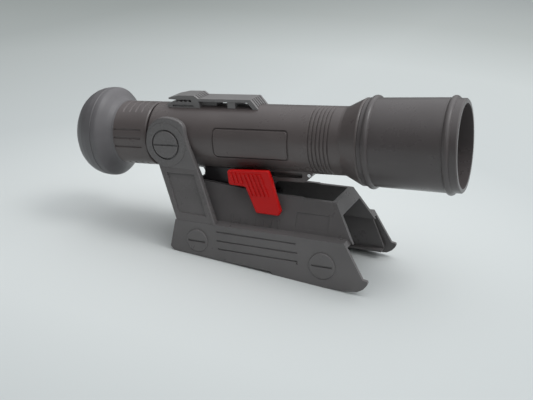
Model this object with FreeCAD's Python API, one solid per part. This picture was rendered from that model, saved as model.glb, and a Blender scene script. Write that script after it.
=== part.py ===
"""Clip-on toy sighting scope on a saddle bracket, with a slide lever that sets its tilt.

Two working frames are used, both in millimetres with +X forward, +Y left and +Z up.
Saddle frame: origin on the ledge plane, below the pivot axis.
Scope frame: origin on the optical axis, near the pivot, +X along the optical axis.
The finished pieces are placed in the standing frame: floor at z = 0, origin under the middle.
"""
import math
import os

import FreeCAD
import Part

V = FreeCAD.Vector

# ---- stance -----------------------------------------------------------------------------
SADDLE_TILT = 4.8            # saddle nose-up on a flat floor, degrees
SCOPE_TILT = 3.1             # scope nose-up against the saddle, lever fully back, degrees
PIVOT_S = -0.5               # pivot axis in the scope frame
PIVOT_H = -0.6
FLOOR_Z = -15.5              # floor below the ledge, under the pivot
LENGTH_MID = 42.5            # middle of the whole length, forward of the scope frame origin

# ---- clearances -------------------------------------------------------------------------
RUN_GAP = 0.05               # radial, turning pieces
SLIDE_GAP = 0.15             # sliding faces
SEAT_GAP = 0.02              # fixed pieces let into each other

# ---- main tube --------------------------------------------------------------------------
TUBE_R = 16.0
UNDER = -TUBE_R              # underside of the tube in the scope frame
AXIS_Z = TUBE_R + 20.35      # scope frame origin above the ledge
TUBE_WALL = 2.2
TUBE_REAR = -12.5
CONE_START = 86.0
CONE_END = 94.5
BELL_JOINT = 95.4
SPIGOT_LEN = 5.0
GROOVE_START = 71.45
GROOVE_PITCH = 1.86
GROOVE_COUNT = 6
BAND_DEPTH = 0.55

# ---- bare nameplate pad on the right side -----------------------------------------------
PLATE_X = (23.9, 61.2)
PLATE_Z = (-6.0, 6.8)
PLATE_RISE = 0.45
PLATE_GROOVE = (0.7, 0.4)             # width and depth of the groove round the pad

# ---- objective bell ---------------------------------------------------------------------
BELL_REAR_R = 20.2
BELL_FRONT_R = 21.0
BELL_END = 139.1
BELL_WALL = 1.7
BELL_BORE_R = min(BELL_REAR_R, BELL_FRONT_R) - BELL_WALL
BELL_NECK_R = BELL_REAR_R - 3.2
SPIGOT_WALL = 1.8
REAR_BEAD = (99.0, 1.25, 1.65)        # position, height above the bell, section radius
FRONT_BEAD = (134.2, 1.05, 1.6)
LENS_SEAT = 112.0
LENS_R = BELL_BORE_R - 0.2
LENS_EDGE = 2.0
LENS_BULGE = 1.4
LENS_RING_LEN = 3.0

# ---- eyepiece ---------------------------------------------------------------------------
EYE_FRONT = -13.5
EYE_REAR = -32.4
EYE_WALL = 2.0
EYE_SPIGOT_END = -7.0
CUP_SPIGOT_R = TUBE_R - 3.0
CUP_R = 22.75
CUP_END = -54.0
CUP_SPIGOT_REAR = -44.0
EYE_LENS_R = CUP_SPIGOT_R - 1.8
EYE_LENS_S = -38.5
EYE_GROOVES = (-28.6, -24.9, -21.4, -17.9)
EYE_FLUTES = (18.0, 3.5, -12.5)       # degrees up from the side

# ---- reticle ----------------------------------------------------------------------------
RETICLE_S = 58.0
RETICLE_LEN = 3.0
RETICLE_RIM = 1.6
HAIR = 0.7

# ---- top rail ---------------------------------------------------------------------------
RAIL_HALF = 6.2
BAR_TOP = TUBE_R + 3.4
BAR_THICK = 1.35
FLUTE_R = 0.7

# ---- guide lug and slider ---------------------------------------------------------------
LUG_HALF = 9.0
LUG_REAR = 47.8
LUG_FRONT = 72.0
LUG_BOTTOM = UNDER - 2.5
SLOT_H = (UNDER - 0.6, UNDER + 1.8)
SLOT_FRONT = 65.6
SLOT_DEPTH = 2.5
TRAVEL = 15.0
BLOCK_REAR = (15.6, 13.2)    # top and foot of its leaning rear face
BLOCK_FRONT = 31.4
BLOCK_HALF = 8.9
CHEEK = 1.6
TONGUE_S = (43.5, 50.0)
PLATE_TOP = LUG_BOTTOM - 0.2
PLATE_BOTTOM = PLATE_TOP - 2.3
CHEEK_BOTTOM = PLATE_TOP - 0.7
WEDGE_SPARE = 4.0            # wedge length beyond the ridge at both ends of the travel
CAM_X = 40.0                 # ridge of the cam bridge, saddle frame
CAM_Z = 12.0
CAM_R = 2.0
LUG_PIN = (69.1, UNDER + 1.1, 0.85)

# ---- lever ------------------------------------------------------------------------------
LEVER_IN = TUBE_R + 1.3
LEVER_OUT = LEVER_IN + 1.9
LEVER_RIB = 0.45
LEVER_ROUND = 1.2
LEVER_RIBS = 8
LEVER_OUTLINE = [(31.4, 4.5), (52.8, 5.2), (54.2, 0.8), (56.1, -7.7), (57.9, -14.2), (56.6, -16.5),
                 (45.0, -15.9), (42.4, -8.7), (40.3, -3.2), (31.8, -2.7)]    # heights from UNDER
LEVER_LINK_S = (33.0, 42.5)
LEVER_LINK_H = (UNDER - 2.4, UNDER + 1.4)
LEVER_PIN_S = (35.5, 40.0)
LEVER_PIN_H = UNDER - 0.5
LEVER_PIN_R = 0.9

# ---- pivot ------------------------------------------------------------------------------
PIN_R = 2.5
PIN_END = TUBE_R - TUBE_WALL - 1.6
ARM_INNER = TUBE_R + 0.4
ARM_THICK = 2.5
ARM_FACE = ARM_INNER + ARM_THICK
HEAD_R = 6.7
HEAD_THICK = 1.4
HEAD_SEAT = ARM_FACE - 0.6
HEAD_RECESS_R = 7.4
SCREW_SLOT = 0.9
PIVOT_SLOT_LEN = 15.0
BOSS_R = 5.2
BOSS_FACE = TUBE_R + 0.2

# ---- saddle -----------------------------------------------------------------------------
LEDGE_HALF = 24.2
FOOT_HALF = 18.2
WALL_LEAN = 5.6 / 15.0       # inward lean of the upper wall per unit of height
SKIRT_LEAN = 0.06            # outward lean of the skirt per unit of depth
WALL = 2.0
LEDGE_THICK = 2.2
SKIRT_THICK = 1.8
NOSE_X = 93.2                # front cut plane at the ledge
NOSE_RAKE = 0.6              # forward run of the front cut per unit of depth
CHANNEL_HALF = LEDGE_HALF - 3.4       # half the clear width for the gun
CHANNEL_WALL = 1.3
CHANNEL_BOTTOM = -18.5
CHANNEL_LIP = 2.4
BOSS_HALF = 3.2              # radius of the clamp screw's boss
FOOT_X = (57.0, 83.5)        # flat foot of the skirt on the floor
BAR_Z = (9.3, 14.7)          # sloped bar at the nose
BAR_REAR = 82.2
REAR_BAR = ((8.4, 12.4), (13.0, 15.4))

# ---- arms -------------------------------------------------------------------------------
ARM_BEND = 24.6              # height where the leaning leg turns upright
ARM_EDGE = 0.9
HEAD_PAD = (10.7, 0.25)      # radius and rise of the round pad
ARM_REAR = [(5.9, 0.0), (-6.4, ARM_BEND + 2.8)]
ARM_CROWN = [(-9.1, -3.7), (-10.8, 0.8), (-10.3, 5.8), (-7.7, 9.9), (-3.9, 12.5), (0.3, 13.4), (4.5, 13.1),
             (7.3, 12.2), (9.3, 10.6), (10.2, 8.7), (10.5, 6.1), (11.4, 2.1), (12.8, -1.7)]    # from the pivot
ARM_FRONT = [(14.0, ARM_BEND + 5.3), (27.2, 0.0)]
ARM_PANEL = [(-0.4, 21.9), (14.4, 22.4), (22.3, 3.3), (7.2, 3.6)]
ARM_PANEL_DEPTH = 0.7
TONGUE_X = (12.0, 23.5)
TONGUE_Y = (CHANNEL_HALF, CHANNEL_HALF + 1.6)
TONGUE_Z = -14.5

# ---- skirt screws: x, z, head radius, slot length ---------------------------------------
ARM_SCREW = (17.8, -9.2, 5.8, 9.1)
CLAMP_SCREW = (82.0, -12.2, 6.4, 9.8)
SHANK_R = 1.5


# ---- shape helpers ----------------------------------------------------------------------
def side_prism(points, y0, y1):
    """Closed outline in x and z, drawn out along y."""
    corners = [V(x, y0, z) for x, z in points]
    outline = Part.Face(Part.makePolygon(corners + corners[:1]))
    return outline.extrude(V(0, y1 - y0, 0))


def cross_prism(points, x0, x1):
    """Closed section in y and z, drawn out along x."""
    corners = [V(x0, y, z) for y, z in points]
    section = Part.Face(Part.makePolygon(corners + corners[:1]))
    return section.extrude(V(x1 - x0, 0, 0))


def box(x0, x1, y0, y1, z0, z1):
    """Block between two corners."""
    return Part.makeBox(x1 - x0, y1 - y0, z1 - z0, V(x0, y0, z0))


def turned(points):
    """Closed half-section in x and radius, spun about x."""
    corners = [V(x, 0, r) for x, r in points]
    section = Part.Face(Part.makePolygon(corners + corners[:1]))
    return section.revolve(V(0, 0, 0), V(1, 0, 0), 360)


def tube(x0, x1, r_out, r_in):
    """Plain ring about x."""
    return turned([(x0, r_in), (x1, r_in), (x1, r_out), (x0, r_out)])


def rod_x(x0, x1, r):
    """Cylinder about x."""
    return Part.makeCylinder(r, x1 - x0, V(x0, 0, 0), V(1, 0, 0))


def rod_y(x, z, r, y0, y1):
    """Cylinder along y."""
    return Part.makeCylinder(r, y1 - y0, V(x, y0, z), V(0, 1, 0))


def bead(spec, shell_r):
    """Half-round bead about x, in short straight facets along its section."""
    x, rise, radius = spec
    centre = shell_r + rise - radius
    steps = 8
    points = [(x - radius, centre - 1.0)]
    for index in range(steps + 1):
        turn = math.pi * index / steps
        points.append((x - radius * math.cos(turn), centre + radius * math.sin(turn)))
    return turned(points + [(x + radius, centre - 1.0)])


def spline(points):
    """Smooth edge through points in x and z."""
    curve = Part.BSplineCurve()
    curve.interpolate([V(x, 0, z) for x, z in points])
    return curve.toShape()


def line(a, b):
    """Straight edge between points in x and z."""
    return Part.makeLine(V(a[0], 0, a[1]), V(b[0], 0, b[1]))


def mirrored(shape):
    """The same piece on the other side."""
    return shape.mirror(V(0, 0, 0), V(0, 1, 0))


def joined(shapes):
    """One solid from several that meet."""
    result = shapes[0]
    for other in shapes[1:]:
        result = result.fuse(other)
    return result.removeSplitter()


def cut(shape, tools):
    """Take tools away from a shape."""
    result = shape
    for tool in tools:
        result = result.cut(tool)
    return result


def turned_about_y(shape, degrees, centre):
    """A turned copy, nose down for positive angles."""
    result = shape.copy()
    result.rotate(centre, V(0, 1, 0), degrees)
    return result


def slotted_head(x, z, y_seat, radius, thick, slot_len, tilt):
    """Screw head on the left side, seated at y_seat, with a straight driver slot."""
    head = rod_y(x, z, radius, y_seat, y_seat + thick)
    rim = [e for e in head.Edges if abs(e.BoundBox.YMax - e.BoundBox.YMin) < 1e-6
           and e.BoundBox.YMax > y_seat + thick / 2]
    head = head.makeChamfer(0.3, rim)
    top = y_seat + thick
    slot = box(x - slot_len / 2, x + slot_len / 2, top - 0.6, top + 1,
               z - SCREW_SLOT / 2, z + SCREW_SLOT / 2)
    slot = turned_about_y(slot, -tilt, V(x, 0, z))
    return head.cut(slot)


# ---- saddle pieces, in the saddle frame -------------------------------------------------
def skirt_y(z):
    """Outer face of the skirt."""
    return LEDGE_HALF - SKIRT_LEAN * z


def wall_y(z):
    """Outer face of the upper wall."""
    return FOOT_HALF - WALL_LEAN * z


def floor_z(x):
    """Floor line."""
    return FLOOR_Z - math.tan(math.radians(SADDLE_TILT)) * x


def nose_x(z):
    """Front cut plane."""
    return NOSE_X - NOSE_RAKE * z


WALL_THICK_Y = WALL * math.hypot(1, WALL_LEAN)


def pivot_in_saddle():
    """Pivot axis in the saddle frame, x and z."""
    tilt = math.radians(SCOPE_TILT)
    x = PIVOT_S * math.cos(tilt) - PIVOT_H * math.sin(tilt)
    z = AXIS_Z + PIVOT_S * math.sin(tilt) + PIVOT_H * math.cos(tilt)
    return x, z


def wall_block(x0, x1, u0, u1, d0, d1):
    """Block on the left upper wall: u runs up the wall, d outward from its face."""
    block = box(x0, x1, d0, d1, u0, u1)
    block.rotate(V(0, 0, 0), V(1, 0, 0), math.degrees(math.atan(WALL_LEAN)))
    block.translate(V(0, FOOT_HALF, 0))
    return block


def wall_outline():
    """Side view of the upper walls and the inner part of the ledge."""
    rear = [(5.3, -LEDGE_THICK), (5.8, 0.0), (8.6, 17.4), (17.1, 17.2), (28.0, 16.6), (54.0, 15.0)]
    top = [(67.5, 15.0), (67.5, 14.7), (nose_x(14.7), 14.7)]
    return rear + top + [(nose_x(-LEDGE_THICK), -LEDGE_THICK)]


def skirt_outline():
    """Side view of the skirt: small tab at the front, flat foot, front half clear of the floor."""
    front = [(92.1, 0.0), (101.4, -15.9), (103.6, -16.3), (103.9, -17.2), (103.4, -18.4), (101.9, -20.3),
             (99.2, -21.9), (93.2, -22.4)]
    foot = [(FOOT_X[1], floor_z(FOOT_X[1])), (FOOT_X[0], floor_z(FOOT_X[0])), (FOOT_X[0] - 0.4, -19.05),
            (7.6, floor_z(7.6)), (6.4, floor_z(6.4))]
    return front + foot + [(4.2, -15.2), (3.0, -13.7), (5.8, 0.0)]


def skirt_step(z, x0, x1):
    """Shallow step line pressed along the left skirt."""
    y = skirt_y(z)
    return box(x0, x1, y - 0.45, y + 1, z - 0.35, z + 0.35)


def saddle_half():
    """Left half of the saddle shell: upper wall, ledge and skirt."""
    top = 18.0
    low = -30.0
    section = [
        (LEDGE_HALF, 0.0), (FOOT_HALF, 0.0), (wall_y(top), top), (wall_y(top) - WALL_THICK_Y, top),
        (wall_y(-LEDGE_THICK) - WALL_THICK_Y, -LEDGE_THICK),
        (skirt_y(-LEDGE_THICK) - SKIRT_THICK, -LEDGE_THICK),
        (skirt_y(low) - SKIRT_THICK, low), (skirt_y(low), low),
    ]
    shell = cross_prism(section, 0.0, 110.0)
    upper = shell.common(side_prism(wall_outline(), 0.0, FOOT_HALF))
    lower = shell.common(side_prism(skirt_outline(), FOOT_HALF, 40.0))
    shell = joined([upper, lower])
    steps = [skirt_step(-3.3, 28.0, 68.8), skirt_step(-7.7, 28.2, 69.8), skirt_step(-11.8, 29.1, 69.8)]
    hook = box(69.4, 70.1, skirt_y(-12.4) - 0.45, 40, -13.2, -11.5)
    panel = wall_block(66.0, 82.0, 1.7, 9.2, -0.3, 1.0)
    shell = cut(shell, steps + [hook, panel])
    marks = []
    for index in range(7):
        tall = 3.6 if index % 3 == 0 else 2.4
        x = 33.0 + 4.0 * index
        marks.append(wall_block(x, x + 0.8, 0.6, 0.6 + tall, -0.2, 0.3))
    shell = joined([shell] + marks)
    slot = box(TONGUE_X[0] - SEAT_GAP, TONGUE_X[1] + SEAT_GAP, TONGUE_Y[0] - SEAT_GAP,
               TONGUE_Y[1] + SEAT_GAP, -LEDGE_THICK - 1, 1)
    holes = [slot]
    for x, z, radius, _ in (ARM_SCREW, CLAMP_SCREW):
        face = skirt_y(z)
        holes.append(rod_y(x, z, radius + SEAT_GAP, face - 0.7, face + 3))
        holes.append(rod_y(x, z, SHANK_R + SEAT_GAP, face - 6, face + 3))
    return cut(shell, holes)


def saddle_body():
    """Saddle shell with the sloped bar that joins its walls at the front."""
    half = saddle_half()
    low, high = BAR_Z
    bar = side_prism([(nose_x(low), low), (nose_x(high), high), (BAR_REAR, high), (BAR_REAR, high - 1.1),
                      (nose_x(low) - 2.2, low)], -20, 20)
    envelope = cross_prism([(-wall_y(5), 5), (wall_y(5), 5), (wall_y(15), 15), (-wall_y(15), 15)], 70, 95)
    (x0, x1), (z0, z1) = REAR_BAR
    rear_bar = side_prism([(x0, z0), (x0, z1), (x1, z1), (x1, z0)], -13, 13)
    inner = cross_prism([(-wall_y(5) + 1, 5), (wall_y(5) - 1, 5), (wall_y(17) - 1, 17),
                         (-wall_y(17) + 1, 17)], 0, 20)
    return joined([half, mirrored(half), bar.common(envelope), rear_bar.common(inner)])


def clamp_plate():
    """Left inner wall of the gun channel, with a lip inward and a foot out to the skirt."""
    top = -LEDGE_THICK
    low = CHANNEL_BOTTOM
    inner = CHANNEL_HALF
    outer = CHANNEL_HALF + CHANNEL_WALL
    lip = inner - CHANNEL_LIP
    foot = low - 1.5
    section = [
        (inner, top), (inner, low), (lip, low - 0.4), (lip, foot), (outer, foot - 0.3),
        (skirt_y(foot) - SKIRT_THICK, foot - 0.3), (skirt_y(low) - SKIRT_THICK, low - 0.4),
        (outer, low + 0.2), (outer, top),
    ]
    wall = cross_prism(section, 0, 110)
    limits = side_prism([(5.2, 0), (6.6, -15.4), (7.8, -15.8), (FOOT_X[0] - 0.6, -18.5),
                         (FOOT_X[0] + 0.4, floor_z(FOOT_X[0]) + 0.4), (62.0, foot - 0.3), (97.6, foot - 0.3),
                         (98.4, -18.0), (91.7, -2.2), (90.9, 0)], 0, 40)
    plate = wall.common(limits)
    x, z, _, _ = CLAMP_SCREW
    face = skirt_y(z + BOSS_HALF) - SKIRT_THICK
    boss = rod_y(x, z, BOSS_HALF, inner + 0.4, face - 0.1)
    bore = rod_y(x, z, SHANK_R, inner + 0.6, face + 1)
    notch = box(TONGUE_X[0] - SLIDE_GAP, TONGUE_X[1] + SLIDE_GAP, 0, 40, TONGUE_Z - SLIDE_GAP, 0)
    return joined([plate, boss]).cut(bore).cut(notch)


def arm_face(z):
    """Outer face of the arm at a height."""
    if z > ARM_BEND:
        return ARM_FACE
    return LEDGE_HALF - 0.2 - (LEDGE_HALF - 0.2 - ARM_FACE) * z / ARM_BEND


def arm():
    """Left arm: a leaning leg with a round head, and a tongue down into the ledge."""
    px, pz = pivot_in_saddle()
    crown = [ARM_REAR[1]] + [(px + dx, pz + dz) for dx, dz in ARM_CROWN] + [ARM_FRONT[0]]
    edges = [line(*ARM_REAR), spline(crown), line(*ARM_FRONT), line(ARM_FRONT[1], ARM_REAR[0])]
    leg = Part.Face(Part.Wire(edges)).extrude(V(0, 40, 0))
    above = pz + 30
    section = [
        (arm_face(0), 0), (ARM_FACE, ARM_BEND), (ARM_FACE, above), (ARM_INNER, above),
        (ARM_INNER, ARM_BEND - 2), (TONGUE_Y[0], 0),
    ]
    leg = leg.common(cross_prism(section, -20, 40))
    leg = leg.makeFillet(ARM_EDGE, outer_edges(leg))
    radius, rise = HEAD_PAD
    pad = rod_y(px, pz, radius, ARM_INNER, ARM_FACE + rise)
    sunk = side_prism(ARM_PANEL, 0, 40)
    sunk = sunk.common(cross_prism([(arm_face(0) - ARM_PANEL_DEPTH, 0), (arm_face(23) - ARM_PANEL_DEPTH, 23),
                                    (40, 23), (40, 0)], -20, 40))
    tongue = box(TONGUE_X[0], TONGUE_X[1], TONGUE_Y[0], TONGUE_Y[1], TONGUE_Z, 0.6)
    body = joined([leg, pad])
    recess = rod_y(px, pz, HEAD_RECESS_R, HEAD_SEAT, 40)
    body = cut(body, [sunk, rod_y(px, pz, PIN_R, 0, 40), recess])
    body = joined([body, tongue])
    sx, sz, _, _ = ARM_SCREW
    return body.cut(rod_y(sx, sz, SHANK_R, 0, 40))


def outer_edges(leg):
    """Edges of the arm's outline on its outer face."""
    chosen = []
    for edge in leg.Edges:
        span = edge.ParameterRange
        middle = edge.valueAt((span[0] + span[1]) / 2)
        level = abs(edge.BoundBox.ZMax - edge.BoundBox.ZMin) < 0.01
        if abs(middle.y - arm_face(middle.z)) < 0.02 and not level:
            chosen.append(edge)
    return chosen


def skirt_screw(spec, depth):
    """Left slotted screw in the skirt."""
    x, z, radius, slot_len = spec
    face = skirt_y(z)
    head = slotted_head(x, z, face - 0.7, radius, 1.2, slot_len, 0)
    return head.fuse(rod_y(x, z, SHANK_R, face - depth, face - 0.6))


def pivot_screw():
    """Left pivot screw: slotted disc and plain pin."""
    px, pz = pivot_in_saddle()
    head = slotted_head(px, pz, HEAD_SEAT, HEAD_R, HEAD_THICK, PIVOT_SLOT_LEN, SCOPE_TILT)
    return head.fuse(rod_y(px, pz, PIN_R, PIN_END, HEAD_SEAT + 0.2))


def cam_bridge():
    """Bridge between the saddle walls, with the round ridge that carries the slider."""
    z0 = 6.5
    z1 = 9.5
    half0 = wall_y(z0) - WALL_THICK_Y
    half1 = wall_y(z1) - WALL_THICK_Y
    deck = cross_prism([(-half0, z0), (half0, z0), (half1, z1), (-half1, z1)], CAM_X - 7, CAM_X + 7)
    window = box(CAM_X - 4.5, CAM_X + 4.5, -4, 4, z0 - 1, z0 + 1.4)
    post = box(CAM_X - CAM_R, CAM_X + CAM_R, -7.5, 7.5, z1 - 0.5, CAM_Z - CAM_R)
    ridge = rod_y(CAM_X, CAM_Z - CAM_R, CAM_R, -7.5, 7.5)
    return joined([deck, post, ridge]).cut(window)


# ---- scope pieces, in the scope frame ---------------------------------------------------
def band_groove(x, r, depth, width):
    """V groove about x."""
    return turned([(x - width / 2, r + 0.2), (x, r - depth), (x + width / 2, r + 0.2)])


def nameplate_zone(grow):
    """Rounded block on the right side that bounds the nameplate, grown all round."""
    block = box(PLATE_X[0] - grow, PLATE_X[1] + grow, -TUBE_R - 5, 0, PLATE_Z[0] - grow, PLATE_Z[1] + grow)
    upright = [e for e in block.Edges if abs(e.Vertexes[0].Y - e.Vertexes[-1].Y) > 1]
    return block.makeFillet(1.4 + grow, upright)


def nameplate_pad():
    """Raised bare pad."""
    skin = tube(PLATE_X[0] - 1, PLATE_X[1] + 1, TUBE_R + PLATE_RISE, TUBE_R - 0.8)
    return skin.common(nameplate_zone(0.0))


def nameplate_groove():
    """Groove round the pad."""
    width, depth = PLATE_GROOVE
    skin = tube(PLATE_X[0] - 2, PLATE_X[1] + 2, TUBE_R + 1, TUBE_R - depth)
    return skin.common(nameplate_zone(width).cut(nameplate_zone(0.0)))


def main_tube():
    """Main tube with its cone, spigot for the bell and pivot bosses."""
    bore = TUBE_R - TUBE_WALL
    spigot = BELL_JOINT + SPIGOT_LEN
    profile = [
        (TUBE_REAR, bore + 0.6), (TUBE_REAR + 0.6, bore), (CONE_START - 1, bore),
        (BELL_JOINT - 2, BELL_NECK_R - SPIGOT_WALL), (spigot, BELL_NECK_R - SPIGOT_WALL),
        (spigot, BELL_NECK_R),
        (BELL_JOINT, BELL_NECK_R), (BELL_JOINT, BELL_REAR_R - 0.3), (CONE_END + 0.5, BELL_REAR_R),
        (CONE_END, BELL_REAR_R), (CONE_START + 0.6, TUBE_R + 0.25), (CONE_START - 0.6, TUBE_R),
        (TUBE_REAR + 0.5, TUBE_R), (TUBE_REAR, TUBE_R - 0.5),
    ]
    body = turned(profile)
    grooves = [band_groove(GROOVE_START + GROOVE_PITCH * i, TUBE_R, BAND_DEPTH, 1.1)
               for i in range(GROOVE_COUNT)]
    body = cut(body, grooves)
    boss = rod_y(PIVOT_S, PIVOT_H, BOSS_R, bore - 2.6, BOSS_FACE)
    body = body.cut(nameplate_groove())
    body = joined([body, boss, mirrored(boss), nameplate_pad()])
    holes = rod_y(PIVOT_S, PIVOT_H, PIN_R + RUN_GAP, -30, 30)
    return body.cut(holes)


def objective_bell():
    """Front bell with two beads and the lens seat inside."""
    rear = BELL_JOINT
    profile = [
        (rear, BELL_NECK_R + SEAT_GAP), (rear + SPIGOT_LEN, BELL_NECK_R + SEAT_GAP),
        (rear + SPIGOT_LEN, BELL_NECK_R - 1.0), (LENS_SEAT - 2.0, BELL_NECK_R - 0.4),
        (LENS_SEAT, BELL_NECK_R - 0.4), (LENS_SEAT, BELL_BORE_R), (BELL_END, BELL_BORE_R + 0.2),
        (BELL_END, BELL_FRONT_R - 0.7), (BELL_END - 0.5, BELL_FRONT_R - 0.2),
        (FRONT_BEAD[0] + 1.5, BELL_FRONT_R - 0.2), (FRONT_BEAD[0] - 1.5, BELL_FRONT_R),
        (REAR_BEAD[0] + 4, BELL_REAR_R + 0.1), (REAR_BEAD[0] + 1.6, BELL_REAR_R),
        (rear + 0.5, BELL_REAR_R), (rear, BELL_REAR_R - 0.3),
    ]
    shell = turned(profile)
    core = rod_x(rear - 5, BELL_END + 5, BELL_BORE_R + 0.6)
    beads = [bead(REAR_BEAD, BELL_REAR_R).cut(core), bead(FRONT_BEAD, BELL_FRONT_R).cut(core)]
    return joined([shell] + beads)


def lens(x0, edge, radius, bulge):
    """Lens, flat behind and domed in front."""
    sphere_r = (radius ** 2 + bulge ** 2) / (2 * bulge)
    front = x0 + edge + bulge
    ball = Part.makeSphere(sphere_r, V(front - sphere_r, 0, 0))
    return rod_x(x0, front + 1, radius).common(ball)


def objective_lens():
    """Front lens."""
    return lens(LENS_SEAT, LENS_EDGE, LENS_R, LENS_BULGE)


def objective_ring():
    """Ring that holds the front lens."""
    x0 = LENS_SEAT + LENS_EDGE
    x1 = x0 + LENS_RING_LEN
    ring = turned([(x0, LENS_R - 2.0), (x1, LENS_R - 1.2), (x1, BELL_BORE_R), (x0, BELL_BORE_R)])
    return ring.cut(objective_lens())


def reticle():
    """Thin ring with cross hairs, inside the main tube."""
    r = TUBE_R - TUBE_WALL
    rim = tube(RETICLE_S, RETICLE_S + RETICLE_LEN, r, r - RETICLE_RIM)
    upright = box(RETICLE_S + 1, RETICLE_S + 1 + HAIR, -HAIR / 2, HAIR / 2, -r + 0.5, r - 0.5)
    level = box(RETICLE_S + 1, RETICLE_S + 1 + HAIR, -r + 0.5, r - 0.5, -HAIR / 2, HAIR / 2)
    dot = tube(RETICLE_S + 1, RETICLE_S + 1 + HAIR, 3.4, 2.8)
    return joined([rim, upright, level, dot])


def reticle_stop():
    """Field stop ring behind the reticle."""
    r = TUBE_R - TUBE_WALL
    return turned([(RETICLE_S - 2.0, r - 3.2), (RETICLE_S, r - 3.2), (RETICLE_S, r), (RETICLE_S - 2.0, r)])


def eyepiece_barrel():
    """Turning barrel with grip grooves, spigots at both ends."""
    bore = TUBE_R - TUBE_WALL
    inner = CUP_SPIGOT_R - EYE_WALL
    profile = [
        (CUP_SPIGOT_REAR, inner + 0.5), (EYE_LENS_S - 1.5, inner + 0.5), (EYE_LENS_S - 1.5, EYE_LENS_R),
        (EYE_LENS_S + 1.5, EYE_LENS_R), (EYE_LENS_S + 1.5, inner - 0.4), (EYE_SPIGOT_END, inner - 0.4),
        (EYE_SPIGOT_END, bore - RUN_GAP), (EYE_FRONT, bore - RUN_GAP), (EYE_FRONT, TUBE_R - 0.5),
        (EYE_FRONT - 0.5, TUBE_R), (EYE_REAR, TUBE_R), (EYE_REAR, CUP_SPIGOT_R),
        (CUP_SPIGOT_REAR, CUP_SPIGOT_R),
    ]
    body = turned(profile)
    sector = 37.0
    reach = 30.0
    wedge = [(0, 0), (reach * math.sin(math.radians(sector)), reach * math.cos(math.radians(sector))),
             (-reach * math.sin(math.radians(sector)), reach * math.cos(math.radians(sector)))]
    top = cross_prism(wedge, -40, 0)
    under = top.mirror(V(0, 0, 0), V(0, 0, 1))
    cuts = []
    for s in EYE_GROOVES:
        groove = band_groove(s, TUBE_R, 0.7, 1.5)
        cuts.append(groove.common(top))
        cuts.append(groove.common(under))
    for angle in EYE_FLUTES:
        flute = Part.makeCylinder(0.55, 15.4, V(EYE_REAR + 0.4, TUBE_R + 0.1, 0), V(1, 0, 0))
        flute.rotate(V(0, 0, 0), V(1, 0, 0), angle)
        cuts.append(flute)
        cuts.append(mirrored(flute))
    return cut(body, cuts)


def eyecup():
    """Flared cup for the eye: rounded outer band, faint crease and a cone down to the barrel."""
    bore = CUP_SPIGOT_R + SEAT_GAP
    band = [(0.0, 8.55), (0.3, 6.95), (1.0, 5.45), (2.4, 3.75), (4.2, 2.35), (6.4, 1.15), (9.0, 0.35),
            (12.1, 0.0), (12.5, 0.35), (12.9, 0.0), (14.5, 0.1)]
    outside = [(CUP_END + step, CUP_R - drop) for step, drop in band]
    cone = [(6.4, 0.955), (5.6, 0.86), (4.8, 0.72), (3.9, 0.52), (3.0, 0.32), (2.1, 0.165), (1.1, 0.05),
            (0.0, 0.01)]
    outside += [(EYE_REAR - back, TUBE_R + (CUP_R - TUBE_R) * share) for back, share in cone]
    inside = [(EYE_REAR, bore), (CUP_SPIGOT_REAR - 0.5, bore), (CUP_END + 0.4, bore + 0.4)]
    return turned(outside + inside)


def eyepiece_lens():
    """Rear lens, domed to the rear."""
    front = EYE_LENS_S + 1.5
    piece = lens(-front, 1.6, EYE_LENS_R, 1.0)
    return piece.mirror(V(0, 0, 0), V(1, 0, 0))


def eyepiece_ring():
    """Ring that holds the rear lens."""
    x1 = EYE_LENS_S - 0.1
    x0 = EYE_LENS_S - 1.5
    ring = turned([(x0, EYE_LENS_R - 1.6), (x1, EYE_LENS_R - 1.6), (x1, EYE_LENS_R), (x0, EYE_LENS_R)])
    return ring.cut(eyepiece_lens())


def top_rail():
    """Raised sight rail: stepped rear block, bar on posts and a sloping front leg."""
    under = BAR_TOP - BAR_THICK
    t = TUBE_R
    sunk = t - 4.0
    block = side_prism([
        (-4.0, t + 3.7), (1.8, t + 4.85), (10.1, t + 4.9), (12.2, BAR_TOP), (13.1, t - 1.5), (13.1, sunk),
        (-4.0, sunk), (-4.0, t - 1.1), (-4.9, t - 0.3), (-4.9, t + 0.8), (-0.6, t + 1.6), (-0.6, t + 2.8),
        (-3.9, t + 3.0),
    ], -RAIL_HALF, RAIL_HALF)
    bar = box(11.0, 40.2, -RAIL_HALF, RAIL_HALF, under, BAR_TOP)
    web = box(12.0, 20.9, -3.4, 3.4, sunk, BAR_TOP - 0.5)
    post = box(27.7, 31.8, -RAIL_HALF + 0.4, RAIL_HALF - 0.4, sunk, BAR_TOP - 0.5)
    leg = side_prism([(38.4, under), (39.0, BAR_TOP), (40.2, BAR_TOP), (44.2, t - 1.6), (44.2, sunk),
                      (41.3, sunk), (41.3, t - 1.5)], -RAIL_HALF, RAIL_HALF)
    rail = joined([block, bar, web, post, leg])
    cuts = [rod_x(-20, 60, TUBE_R)]
    upper = box(-1.0, 8.5, RAIL_HALF - 1.6, RAIL_HALF + 1, t + 1.7, t + 2.8)
    for tooth in (1.2, 3.6, 6.0):
        upper = upper.cut(box(tooth, tooth + 1.0, 0, 40, t + 1.0, t + 2.2))
    lower = box(-2.0, 9.5, RAIL_HALF - 0.8, RAIL_HALF + 2, t - 0.6, t + 0.2)
    cuts += [upper, mirrored(upper), lower, mirrored(lower)]
    slopes = (((9.6, t + 5.3), (12.6, t + 3.0)), ((39.7, t + 4.0), (44.9, t - 2.5)))
    for y in (-4.2, -2.1, 0.0, 2.1, 4.2):
        for top, foot in slopes:
            run = V(foot[0] - top[0], 0, foot[1] - top[1])
            cuts.append(Part.makeCylinder(FLUTE_R, run.Length, V(top[0], y, top[1]), run))
    return cut(rail, cuts)


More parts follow.
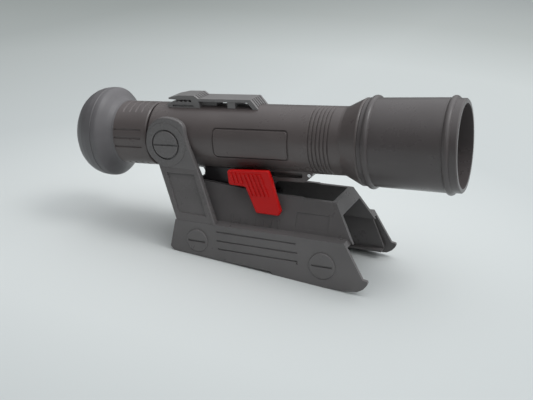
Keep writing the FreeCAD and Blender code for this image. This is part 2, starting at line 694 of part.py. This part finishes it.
def guide_lug():
    """Lug under the tube with a side slot for the slider's tongues."""
    body = side_prism([(LUG_REAR, LUG_BOTTOM), (66.7, LUG_BOTTOM), (LUG_FRONT, UNDER + 3.0),
                       (LUG_FRONT, UNDER + 7.0), (LUG_REAR, UNDER + 7.0)], -LUG_HALF, LUG_HALF)
    slot = box(LUG_REAR - 1, SLOT_FRONT - 1.2, LUG_HALF - SLOT_DEPTH, LUG_HALF + 1, SLOT_H[0], SLOT_H[1])
    slot_end = rod_y(SLOT_FRONT - 1.2, (SLOT_H[0] + SLOT_H[1]) / 2, (SLOT_H[1] - SLOT_H[0]) / 2,
                     LUG_HALF - SLOT_DEPTH, LUG_HALF + 1)
    slot = slot.fuse(slot_end)
    x, z, r = LUG_PIN
    hole = rod_y(x, z, r, LUG_HALF - 1.1, LUG_HALF + 1)
    return cut(body, [rod_x(0, 100, TUBE_R), slot, mirrored(slot), hole, mirrored(hole)])


def lug_pin():
    """Bright stop pins in both sides of the lug."""
    x, z, r = LUG_PIN
    pin = rod_y(x, z, r, LUG_HALF - 1.1, LUG_HALF + 0.5)
    return [pin, mirrored(pin)]


# ---- slider pieces, in the scope frame --------------------------------------------------
def ridge_in_scope(swing, travel):
    """Centre of the cam ridge as the slider sees it, scope nose-up by swing degrees."""
    px, pz = pivot_in_saddle()
    turn = math.radians(swing)
    dx = CAM_X - px
    dz = CAM_Z - CAM_R - pz
    s = PIVOT_S + dx * math.cos(turn) + dz * math.sin(turn)
    h = PIVOT_H - dx * math.sin(turn) + dz * math.cos(turn)
    return s - travel, h


def wedge_low(s):
    """Underside of the slider, so that it rides just over the cam ridge all the way."""
    s0, h0 = ridge_in_scope(SCOPE_TILT, 0.0)
    s1, h1 = ridge_in_scope(0.0, TRAVEL)
    slope = (h1 - h0) / (s1 - s0)
    return h0 + slope * (s - s0) + (CAM_R + SLIDE_GAP) * math.hypot(1, slope)


def slide_carriage():
    """Black wedge block that runs under the tube."""
    ramp0 = CAM_X - TRAVEL - WEDGE_SPARE
    ramp1 = CAM_X + WEDGE_SPARE
    block = side_prism([
        (BLOCK_REAR[0], UNDER + 6.0), (BLOCK_REAR[1], PLATE_BOTTOM + 0.5),
        (BLOCK_REAR[1] + 1.5, PLATE_BOTTOM - 1.0), (ramp0, wedge_low(ramp0)),
        (ramp1, wedge_low(ramp1)), (ramp1 + 3, PLATE_BOTTOM), (TONGUE_S[1], PLATE_BOTTOM),
        (TONGUE_S[1], PLATE_TOP), (BLOCK_FRONT, PLATE_TOP), (BLOCK_FRONT, UNDER + 6.0),
    ], -BLOCK_HALF, BLOCK_HALF)
    parts = [block]
    inner = LUG_HALF + SLIDE_GAP
    for side in (1, -1):
        cheek = box(BLOCK_FRONT - 2, TONGUE_S[1], inner, inner + CHEEK, CHEEK_BOTTOM, SLOT_H[1] - SLIDE_GAP)
        web = box(BLOCK_FRONT - 2, TONGUE_S[1], BLOCK_HALF - 0.5, inner + 0.1, CHEEK_BOTTOM - 1, PLATE_TOP)
        tongue = box(TONGUE_S[0], TONGUE_S[1], LUG_HALF - SLOT_DEPTH + SLIDE_GAP + 0.6, inner + 0.1,
                     SLOT_H[0] + SLIDE_GAP, SLOT_H[1] - SLIDE_GAP)
        rib = joined([cheek, web, tongue])
        parts.append(rib if side > 0 else mirrored(rib))
    body = joined(parts)
    return body.cut(rod_x(0, 100, TUBE_R + SLIDE_GAP))


def range_lever():
    """Red lever on the right side: ribbed thumb piece, link and hanging leg."""
    plate = side_prism([(x, UNDER + h) for x, h in LEVER_OUTLINE], LEVER_IN, LEVER_OUT)
    corners = [e for e in plate.Edges if abs(e.Vertexes[0].Y - e.Vertexes[-1].Y) > 1]
    plate = plate.makeFillet(LEVER_ROUND, corners)
    rim = [e for e in plate.Edges if e.BoundBox.YMin > LEVER_OUT - 0.01]
    plate = plate.makeChamfer(0.5, rim)
    ribs = []
    top = UNDER + 3.4
    for index in range(LEVER_RIBS):
        x = 32.9 + 2.1 * index
        drop, lean = (5.0, 0.25) if index < 3 else (10.8, 0.35)
        low = top - drop
        run = drop * lean
        ribs.append(side_prism([(x, top), (x + 1.1, top), (x + 1.1 + run, low), (x + run, low)],
                               LEVER_OUT - 0.1, LEVER_OUT + LEVER_RIB))
    inner = LUG_HALF + SLIDE_GAP + CHEEK
    link = box(LEVER_LINK_S[0], LEVER_LINK_S[1], inner, LEVER_IN + 0.1, LEVER_LINK_H[0], LEVER_LINK_H[1])
    shape = joined([plate, link] + ribs)
    for s in LEVER_PIN_S:
        shape = shape.cut(rod_y(s, LEVER_PIN_H, LEVER_PIN_R, inner - 1, inner + 4))
    return mirrored(shape)


def lever_pins():
    """Two pins that fix the lever to the slider."""
    inner = LUG_HALF + SLIDE_GAP
    pins = [rod_y(s, LEVER_PIN_H, LEVER_PIN_R, inner, inner + CHEEK + 3.9) for s in LEVER_PIN_S]
    return [mirrored(pin) for pin in pins]


# ---- placing and writing ----------------------------------------------------------------
def scope_to_saddle(shape):
    """Set a scope piece on the saddle at its rest tilt."""
    placed = shape.copy()
    placed.rotate(V(0, 0, 0), V(0, 1, 0), -SCOPE_TILT)
    placed.translate(V(0, 0, AXIS_Z))
    return placed


def stand(shape):
    """Stand a saddle-frame piece on the floor."""
    placed = shape.copy()
    placed.rotate(V(0, 0, 0), V(0, 1, 0), -SADDLE_TILT)
    tilt = math.radians(SADDLE_TILT)
    lift = -FLOOR_Z * math.cos(tilt)
    placed.translate(V(-LENGTH_MID + AXIS_Z * math.sin(tilt), 0, lift))
    return placed


def write(node, shapes, in_scope):
    """Write one node, from one solid or several."""
    solids = []
    for shape in shapes if isinstance(shapes, list) else [shapes]:
        placed = scope_to_saddle(shape) if in_scope else shape
        solids += stand(placed).Solids
    whole = solids[0] if len(solids) == 1 else Part.makeCompound(solids)
    whole.exportStep("parts/" + node + ".step")
    return len(solids)


def build():
    """Make every node."""
    os.makedirs("parts", exist_ok=True)
    left_arm = arm()
    carriage = slide_carriage()
    pins = lever_pins()
    for pin in pins:
        carriage = carriage.cut(pin)
    left_plate = clamp_plate()
    left_pivot = pivot_screw()
    arm_screw = skirt_screw(ARM_SCREW, SKIRT_THICK + 1.9)
    clamp_screw = skirt_screw(CLAMP_SCREW, SKIRT_THICK + 1.5)
    saddle_nodes = {
        "saddle_body": saddle_body(),
        "left_arm": left_arm,
        "right_arm": mirrored(left_arm),
        "left_clamp_plate": left_plate,
        "right_clamp_plate": mirrored(left_plate),
        "arm_screws": [arm_screw, mirrored(arm_screw)],
        "clamp_screws": [clamp_screw, mirrored(clamp_screw)],
        "left_pivot_screw": left_pivot,
        "right_pivot_screw": mirrored(left_pivot),
        "cam_bridge": cam_bridge(),
    }
    scope_nodes = {
        "main_tube": main_tube(),
        "objective_bell": objective_bell(),
        "objective_lens": objective_lens(),
        "objective_lens_ring": objective_ring(),
        "reticle_cross": reticle(),
        "field_stop": reticle_stop(),
        "top_rail": top_rail(),
        "guide_lug": guide_lug(),
        "lug_pins": lug_pin(),
        "eyepiece_barrel": eyepiece_barrel(),
        "eyecup": eyecup(),
        "eyepiece_lens": eyepiece_lens(),
        "eyepiece_lens_ring": eyepiece_ring(),
        "slide_carriage": carriage,
        "range_lever": range_lever(),
        "lever_pins": pins,
    }
    for node, shapes in saddle_nodes.items():
        write(node, shapes, False)
    for node, shapes in scope_nodes.items():
        write(node, shapes, True)


build()
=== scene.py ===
"""Looks of the clip-on toy sighting scope: materials, floor, light and camera. Lengths are in metres."""
import math

import bmesh
import bpy
from mathutils import Matrix, Vector

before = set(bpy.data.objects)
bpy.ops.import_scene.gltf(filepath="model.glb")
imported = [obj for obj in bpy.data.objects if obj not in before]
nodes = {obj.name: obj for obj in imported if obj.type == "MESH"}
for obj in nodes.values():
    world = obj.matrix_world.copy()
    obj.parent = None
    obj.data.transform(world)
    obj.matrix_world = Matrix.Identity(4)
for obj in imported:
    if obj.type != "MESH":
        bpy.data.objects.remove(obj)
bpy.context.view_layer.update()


# ---- materials --------------------------------------------------------------------------
EDGE_ROUND = 0.00025                  # radius that light sees on every moulded edge
EDGE_WEAR_AND_SHEEN = EDGE_ROUND * 2.2          # reach of the lighter edges: wear and a painted edge highlight
GRAIN_FINE, GRAIN_DEPTH = 2600, 0.0001       # noise scale and height of the skin's grain
WAVES_WIDE, WAVES_DEPTH = 55, 0.0006         # noise scale and height of the sink waves


def new_material(name):
    """Node material with one plain shader: returns the material, its node tree and the shader."""
    material = bpy.data.materials.new(name)
    material.use_nodes = True
    tree = material.node_tree
    tree.nodes.clear()
    output = tree.nodes.new("ShaderNodeOutputMaterial")
    shader = tree.nodes.new("ShaderNodeBsdfPrincipled")
    tree.links.new(shader.outputs["BSDF"], output.inputs["Surface"])
    return material, tree, shader


def noise(tree, scale, detail, roughness, stretch=(1, 1, 1)):
    """Noise in object space, in cycles per metre."""
    place = tree.nodes.new("ShaderNodeTexCoord")
    mapping = tree.nodes.new("ShaderNodeMapping")
    mapping.inputs["Scale"].default_value = stretch
    tree.links.new(place.outputs["Object"], mapping.inputs["Vector"])
    texture = tree.nodes.new("ShaderNodeTexNoise")
    texture.inputs["Scale"].default_value = scale
    texture.inputs["Detail"].default_value = detail
    texture.inputs["Roughness"].default_value = roughness
    tree.links.new(mapping.outputs["Vector"], texture.inputs["Vector"])
    return texture.outputs["Fac"]


def spread(tree, value, low, high, to_low, to_high):
    """Map a value from one range to another, clamped."""
    node = tree.nodes.new("ShaderNodeMapRange")
    node.inputs["From Min"].default_value = low
    node.inputs["From Max"].default_value = high
    node.inputs["To Min"].default_value = to_low
    node.inputs["To Max"].default_value = to_high
    tree.links.new(value, node.inputs["Value"])
    return node.outputs["Result"]


def mixed(tree, factor, a, b):
    """Blend of two colours; each is a colour or a socket."""
    node = tree.nodes.new("ShaderNodeMix")
    node.data_type = "RGBA"
    tree.links.new(factor, node.inputs["Factor"])
    for key, value in (("A", a), ("B", b)):
        socket = [s for s in node.inputs if s.name == key and s.type == "RGBA"][0]
        if isinstance(value, tuple):
            socket.default_value = (*value, 1.0)
        else:
            tree.links.new(value, socket)
    return [s for s in node.outputs if s.type == "RGBA"][0]


def rounded(tree, radius):
    """Normal that is rounded over edges by a radius."""
    bevel = tree.nodes.new("ShaderNodeBevel")
    bevel.samples = 4
    bevel.inputs["Radius"].default_value = radius
    return bevel.outputs["Normal"]


def bumped(tree, height, strength, depth, normal):
    """Normal with small bumps, depth high at full strength, on top of another normal."""
    bump = tree.nodes.new("ShaderNodeBump")
    bump.inputs["Strength"].default_value = strength
    bump.inputs["Distance"].default_value = depth
    tree.links.new(height, bump.inputs["Height"])
    tree.links.new(normal, bump.inputs["Normal"])
    return bump.outputs["Normal"]


def edge_mask(tree, radius):
    """1 on sharp outer edges and 0 on flats, from a rounded normal."""
    geometry = tree.nodes.new("ShaderNodeNewGeometry")
    dot = tree.nodes.new("ShaderNodeVectorMath")
    dot.operation = "DOT_PRODUCT"
    tree.links.new(rounded(tree, radius), dot.inputs[0])
    tree.links.new(geometry.outputs["Normal"], dot.inputs[1])
    return spread(tree, dot.outputs["Value"], 0.80, 0.99, 1.0, 0.0)


def moulded(name, colour, rough, grain=0.5, wear_and_sheen=0.35, dust=0.25, specular=0.5):
    """Moulded plastic: fine grain, faint mottling, softened edges lightened by wear and a painted edge
    highlight, dust.
    """
    material, tree, shader = new_material(name)
    darker = tuple(c * 0.86 for c in colour)
    wear_and_sheen_colour = tuple(min(1.0, c * 1.35 + 0.012) for c in colour)
    dusty = tuple(min(1.0, c * 1.25 + 0.02) for c in colour)
    patches = spread(tree, noise(tree, 42, 5, 0.6), 0.35, 0.68, 0.0, 1.0)
    base = mixed(tree, patches, darker, colour)
    flow = spread(tree, noise(tree, 18, 3, 0.5, (1.0, 3.0, 3.0)), 0.52, 0.78, 0.0, dust)
    base = mixed(tree, flow, base, dusty)
    # Edges lightened in colour: partly wear, partly a painted highlight along every edge.
    edges = edge_mask(tree, EDGE_WEAR_AND_SHEEN)
    worn_and_sheen = tree.nodes.new("ShaderNodeMath")
    worn_and_sheen.operation = "MULTIPLY"
    tree.links.new(edges, worn_and_sheen.inputs[0])
    tree.links.new(spread(tree, noise(tree, 160, 4, 0.7), 0.40, 0.62, 0.1 * wear_and_sheen, wear_and_sheen), worn_and_sheen.inputs[1])
    base = mixed(tree, worn_and_sheen.outputs["Value"], base, wear_and_sheen_colour)
    tree.links.new(base, shader.inputs["Base Color"])
    smudge = spread(tree, noise(tree, 60, 6, 0.65), 0.30, 0.72, rough - 0.06, rough + 0.08)
    tree.links.new(smudge, shader.inputs["Roughness"])
    shader.inputs["Specular IOR Level"].default_value = specular
    fine = bumped(tree, noise(tree, GRAIN_FINE, 2, 0.5), 0.16 * grain, GRAIN_DEPTH, rounded(tree, EDGE_ROUND))
    waves = bumped(tree, noise(tree, WAVES_WIDE, 3, 0.5), 0.05, WAVES_DEPTH, fine)
    tree.links.new(waves, shader.inputs["Normal"])
    return material


def clear_plastic(name, tint):
    """Clear moulded lens."""
    material, tree, shader = new_material(name)
    shader.inputs["Base Color"].default_value = (*tint, 1.0)
    shader.inputs["Transmission Weight"].default_value = 1.0
    shader.inputs["IOR"].default_value = 1.49
    tree.links.new(spread(tree, noise(tree, 90, 4, 0.6), 0.3, 0.7, 0.02, 0.07), shader.inputs["Roughness"])
    return material


def metal(name, colour, rough):
    """Turned bright metal."""
    material, tree, shader = new_material(name)
    tone = spread(tree, noise(tree, 700, 3, 0.6), 0.3, 0.7, 0.0, 1.0)
    tree.links.new(mixed(tree, tone, tuple(c * 0.8 for c in colour), colour), shader.inputs["Base Color"])
    shader.inputs["Metallic"].default_value = 1.0
    shader.inputs["Roughness"].default_value = rough
    return material


def srgb(r, g, b):
    """8-bit display colour to linear."""
    def one(v):
        v /= 255.0
        return v / 12.92 if v <= 0.04045 else ((v + 0.055) / 1.055) ** 2.4
    return one(r), one(g), one(b)


GREY_TUBE = moulded("tube_grey", srgb(97, 90, 89), 0.30, grain=0.15)
GREY_BELL = moulded("bell_grey", srgb(89, 84, 84), 0.30, grain=0.15)
GREY_RAIL = moulded("rail_grey", srgb(130, 128, 128), 0.36)
GREY_CUP = moulded("cup_grey", srgb(106, 104, 106), 0.42, grain=0.2)
GREY_ARM = moulded("arm_grey", srgb(108, 105, 105), 0.28, grain=0.2)
GREY_SADDLE = moulded("saddle_grey", srgb(106, 103, 103), 0.31, grain=0.2)
BLACK = moulded("black_plastic", srgb(42, 39, 41), 0.34, dust=0.12)
RED = moulded("red_plastic", srgb(216, 8, 8), 0.36, grain=0.25, wear_and_sheen=0.12, dust=0.0, specular=0.28)
CLEAR = clear_plastic("clear_lens", (0.92, 0.95, 0.96))
STEEL = metal("bright_steel", (0.75, 0.75, 0.76), 0.25)

LOOKS = {
    "saddle_body": GREY_SADDLE, "left_clamp_plate": GREY_SADDLE, "right_clamp_plate": GREY_SADDLE,
    "left_arm": GREY_ARM, "right_arm": GREY_ARM, "left_pivot_screw": GREY_ARM,
    "right_pivot_screw": GREY_ARM, "arm_screws": GREY_ARM, "clamp_screws": GREY_ARM,
    "main_tube": GREY_TUBE, "top_rail": GREY_RAIL, "guide_lug": GREY_TUBE, "eyepiece_barrel": GREY_TUBE,
    "objective_bell": GREY_BELL, "eyecup": GREY_CUP,
    "slide_carriage": BLACK, "cam_bridge": BLACK, "reticle_cross": BLACK, "field_stop": BLACK,
    "objective_lens_ring": BLACK, "eyepiece_lens_ring": BLACK,
    "range_lever": RED, "objective_lens": CLEAR, "eyepiece_lens": CLEAR,
    "lug_pins": STEEL, "lever_pins": STEEL,
}
for node_name, look in LOOKS.items():
    mesh = nodes[node_name].data
    mesh.materials.clear()
    mesh.materials.append(look)


# ---- floor and backdrop -----------------------------------------------------------------
PAINTED_POOL_CENTRE = (-0.03, 0.03, 0.0)     # centre of the painted pool of light on the paper
PAINTED_POOL_REACH = 1.2                     # distance from there to the outermost tone of the painted pool of light
# Tones of the painted pool of light, by distance from its centre.
PAINTED_POOL_TONES = ((0.05, srgb(223, 227, 226)), (0.20, srgb(203, 208, 208)), (0.45, srgb(203, 208, 207)),
               (0.75, srgb(180, 185, 183)), (PAINTED_POOL_REACH, srgb(160, 165, 164)))
PAINTED_SHADE_WEST = (-0.10, -0.45, 0.45, srgb(108, 114, 111))     # painted shade towards the far left: starts, is full, share and tone, along X
PAINTED_SHADE_NEAR = (-0.10, -0.26, 0.35, srgb(150, 155, 154))     # painted shade on the near side: the same along Y
FLOOR_HALF = (9.0, 6.0)               # half width and half depth of the flat floor
BACK_EDGE = 2.9                       # where the floor starts to curve up
BACK_RISE = 0.5                       # radius of the curved back
SWEEP_TURN = 22                       # turn of floor and back towards the camera, degrees


def backdrop_material():
    """Pale paper with painted light: a painted pool of light around the object, and painted shade away from
    it, towards its far left and on the near side.
    """
    material, tree, shader = new_material("backdrop_paper")
    place = tree.nodes.new("ShaderNodeTexCoord")
    offset = tree.nodes.new("ShaderNodeVectorMath")
    offset.operation = "DISTANCE"
    offset.inputs[1].default_value = PAINTED_POOL_CENTRE
    tree.links.new(place.outputs["Object"], offset.inputs[0])
    # Painted pool of light: the paper darkens with distance from the object.
    ramp = tree.nodes.new("ShaderNodeValToRGB")
    tree.links.new(spread(tree, offset.outputs["Value"], 0.0, PAINTED_POOL_REACH, 0.0, 1.0), ramp.inputs["Fac"])
    stops = ramp.color_ramp.elements
    for index, (away, tone) in enumerate(PAINTED_POOL_TONES):
        inner = 0 < index < len(PAINTED_POOL_TONES) - 1
        stop = stops.new(away / PAINTED_POOL_REACH) if inner else stops[0 if index == 0 else len(stops) - 1]
        stop.position = away / PAINTED_POOL_REACH
        stop.color = (*tone, 1.0)
    parts = tree.nodes.new("ShaderNodeSeparateXYZ")
    tree.links.new(place.outputs["Object"], parts.inputs[0])
    paper = ramp.outputs["Color"]
    # Painted shade on the paper towards the far left and on the near side.
    for axis, (start, full, share, tone) in (("X", PAINTED_SHADE_WEST), ("Y", PAINTED_SHADE_NEAR)):
        paper = mixed(tree, spread(tree, parts.outputs[axis], start, full, 0.0, share), paper, tone)
    tree.links.new(paper, shader.inputs["Base Color"])
    shader.inputs["Roughness"].default_value = 0.75
    shader.inputs["Specular IOR Level"].default_value = 0.2
    return material


def sweep():
    """Floor that curves up into a back wall."""
    mesh = bpy.data.meshes.new("sweep")
    bm = bmesh.new()
    bmesh.ops.create_grid(bm, x_segments=1, y_segments=1, size=1.0)
    bmesh.ops.scale(bm, vec=(*FLOOR_HALF, 1.0), verts=bm.verts)
    bmesh.ops.translate(bm, vec=(0.0, BACK_EDGE - FLOOR_HALF[1], 0.0), verts=bm.verts)
    rear = [e for e in bm.edges if all(v.co.y > 0.0 for v in e.verts)]
    bmesh.ops.spin(bm, geom=rear, cent=(0.0, BACK_EDGE, BACK_RISE), axis=(1.0, 0.0, 0.0), angle=math.pi / 2,
                   steps=18, use_duplicate=False)
    bmesh.ops.recalc_face_normals(bm, faces=bm.faces)
    for face in bm.faces:
        face.smooth = True
    turned = Matrix.Rotation(math.radians(SWEEP_TURN), 3, "Z")
    bmesh.ops.rotate(bm, cent=(0, 0, 0), matrix=turned, verts=bm.verts)
    bm.to_mesh(mesh)
    bm.free()
    obj = bpy.data.objects.new("sweep", mesh)
    bpy.context.collection.objects.link(obj)
    mesh.materials.append(backdrop_material())


sweep()


# ---- light ------------------------------------------------------------------------------
GLOW_TOWARDS = (0.30, 0.22, 0.93)     # middle of the bright part of the room
GLOW_EDGE = (0.22, 0.95)              # cosines to it where the glow starts and where it is full
ROOM_DIM, ROOM_BRIGHT = (0.07, 0.07, 0.07), (1.0, 1.02, 1.04)
ROOM_LEVEL = 1.48


def area(name, place, aim, size, power, colour):
    """Soft rectangular light aimed at a point."""
    data = bpy.data.lights.new(name, "AREA")
    data.shape = "RECTANGLE"
    data.size, data.size_y = size
    data.energy = power
    data.color = colour
    obj = bpy.data.objects.new(name, data)
    bpy.context.collection.objects.link(obj)
    obj.location = place
    obj.rotation_euler = (Vector(aim) - Vector(place)).to_track_quat("-Z", "Y").to_euler()


def room():
    """Soft room light: brightest above and behind the object, dim on the near side."""
    world = bpy.data.worlds.new("room")
    world.use_nodes = True
    tree = world.node_tree
    place = tree.nodes.new("ShaderNodeTexCoord")
    facing = tree.nodes.new("ShaderNodeVectorMath")
    facing.operation = "DOT_PRODUCT"
    facing.inputs[1].default_value = Vector(GLOW_TOWARDS).normalized()
    tree.links.new(place.outputs["Generated"], facing.inputs[0])
    glow = spread(tree, facing.outputs["Value"], *GLOW_EDGE, 0.0, 1.0)
    sky = mixed(tree, glow, ROOM_DIM, ROOM_BRIGHT)
    background = tree.nodes["Background"]
    tree.links.new(sky, background.inputs["Color"])
    background.inputs["Strength"].default_value = ROOM_LEVEL
    return world


area("top_soft", (0.75, 0.15, 1.55), (0.0, 0.0, 0.05), (0.6, 0.6), 5.5, (1.0, 0.998, 0.99))

scene = bpy.context.scene
scene.world = room()

# ---- camera -----------------------------------------------------------------------------
CAMERA_PLACE = (0.1469, -0.3532, 0.17457)
AZIMUTH, ELEVATION, ROLL = (math.radians(degrees) for degrees in (22.07, 21.30, 3.89))


def aimed_camera():
    """Camera at its place, looking down and to the left by its angles, with a little roll."""
    data = bpy.data.cameras.new("camera")
    data.lens = 56.05
    data.sensor_width = 36.0
    data.clip_start = 0.01
    obj = bpy.data.objects.new("camera", data)
    bpy.context.collection.objects.link(obj)
    back = Vector((math.sin(AZIMUTH) * math.cos(ELEVATION), -math.cos(AZIMUTH) * math.cos(ELEVATION),
                   math.sin(ELEVATION)))
    side = Vector((math.cos(AZIMUTH), math.sin(AZIMUTH), 0.0))
    rise = back.cross(side)
    turn = Matrix.Rotation(ROLL, 3, back)
    axes = Matrix((turn @ side, turn @ rise, back)).transposed()
    obj.matrix_world = Matrix.Translation(Vector(CAMERA_PLACE)) @ axes.to_4x4()
    return obj


scene.camera = aimed_camera()
scene.view_settings.view_transform = "Standard"
